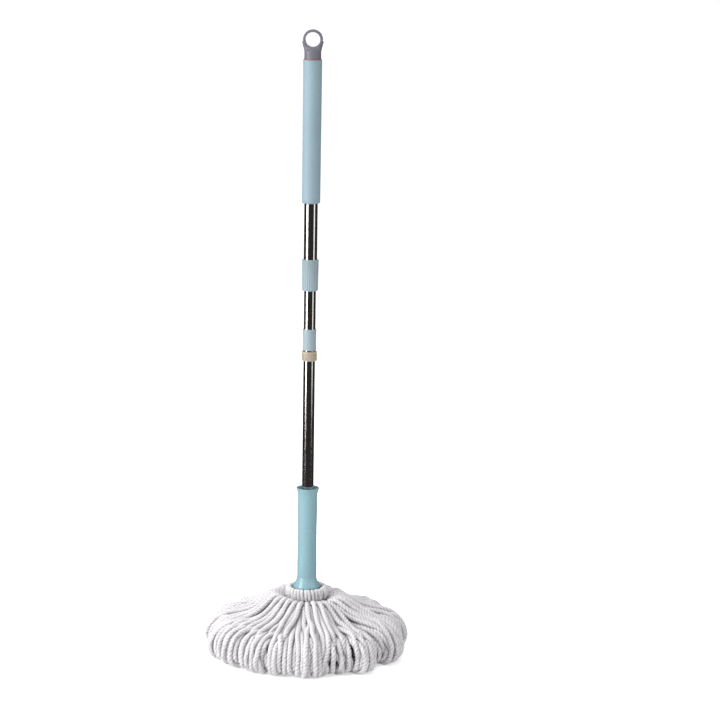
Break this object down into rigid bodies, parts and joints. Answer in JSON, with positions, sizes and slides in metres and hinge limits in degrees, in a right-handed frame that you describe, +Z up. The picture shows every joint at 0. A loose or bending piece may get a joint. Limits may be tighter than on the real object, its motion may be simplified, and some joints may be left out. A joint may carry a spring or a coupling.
{
  "type": "twist mop",
  "caption": "Floor mop with a telescopic steel pole, hanging ring, lock nut, catch ring and a sliding sleeve that twists the round yarn head dry.",
  "frame": {"origin": "on the floor, under the middle of the pole", "axes": "+Z up along the pole, -Y to the front, along the hanging hole's axis"},
  "size_m": [0.3798, 0.3798, 1.1791],
  "materials": {
    "tube_steel": "polished",
    "hardware_steel": "satin",
    "inner_plastic": "satin",
    "beige_plastic": "satin",
    "pale_blue_plastic": "satin",
    "grip_plastic": "matte",
    "peach_plastic": "satin",
    "grey_plastic": "satin",
    "teal_plastic": "gloss",
    "dark_teal_plastic": "satin",
    "dark_grey_plastic": "satin",
    "yarn": "matte"
  },
  "bodies": {
    "lower_pole": {"lower_tube": "tube_steel", "guide_plug": "inner_plastic", "stop_collar": "pale_blue_plastic", "collar_pin": "hardware_steel", "ratchet_hub": "beige_plastic", "hub_pin": "hardware_steel", "ring_clip": "hardware_steel", "end_plug": "inner_plastic", "plug_pins": "hardware_steel", "base_clamp": "dark_grey_plastic", "base_plate": "dark_grey_plastic", "base_screw": "hardware_steel", "yarn_skirt": "yarn", "yarn_core": "yarn"},
    "upper_pole": {"upper_tube": "tube_steel", "collet": "inner_plastic", "grip": "grip_plastic", "trim_ring": "peach_plastic", "hanging_cap": "grey_plastic"},
    "lock_nut": {"lock_nut": "pale_blue_plastic"},
    "ratchet_ring": {"ratchet_ring": "beige_plastic"},
    "wringer_slider": {"upper_bush": "inner_plastic", "lower_bush": "inner_plastic"},
    "wringer_sleeve": {"sleeve": "teal_plastic", "drive_ring": "inner_plastic", "head_collar": "dark_teal_plastic", "neck_ring": "dark_grey_plastic", "neck_roll": "yarn"}
  },
  "joints": [
    {"name": "pole_extend", "type": "slide", "parent": "lower_pole", "child": "upper_pole", "axis": [0, 0, 1], "range_m": [-0.07, 0.12]},
    {"name": "lock_nut_turn", "type": "hinge", "parent": "upper_pole", "child": "lock_nut", "pos_m": [0, 0, 0.728], "axis": [0, 0, 1], "range_deg": [0, 180]},
    {"name": "catch_ring_turn", "type": "hinge", "parent": "lower_pole", "child": "ratchet_ring", "pos_m": [0, 0, 0.573], "axis": [0, 0, 1], "continuous": true},
    {"name": "wring_slide", "type": "slide", "parent": "lower_pole", "child": "wringer_slider", "axis": [0, 0, 1], "range_m": [0, 0.272], "deforming": ["yarn_skirt", "yarn_core"]},
    {"name": "wring_twist", "type": "hinge", "parent": "wringer_slider", "child": "wringer_sleeve", "pos_m": [0, 0, 0.2], "axis": [0, 0, 1], "range_deg": [0, 540]}
  ]
}
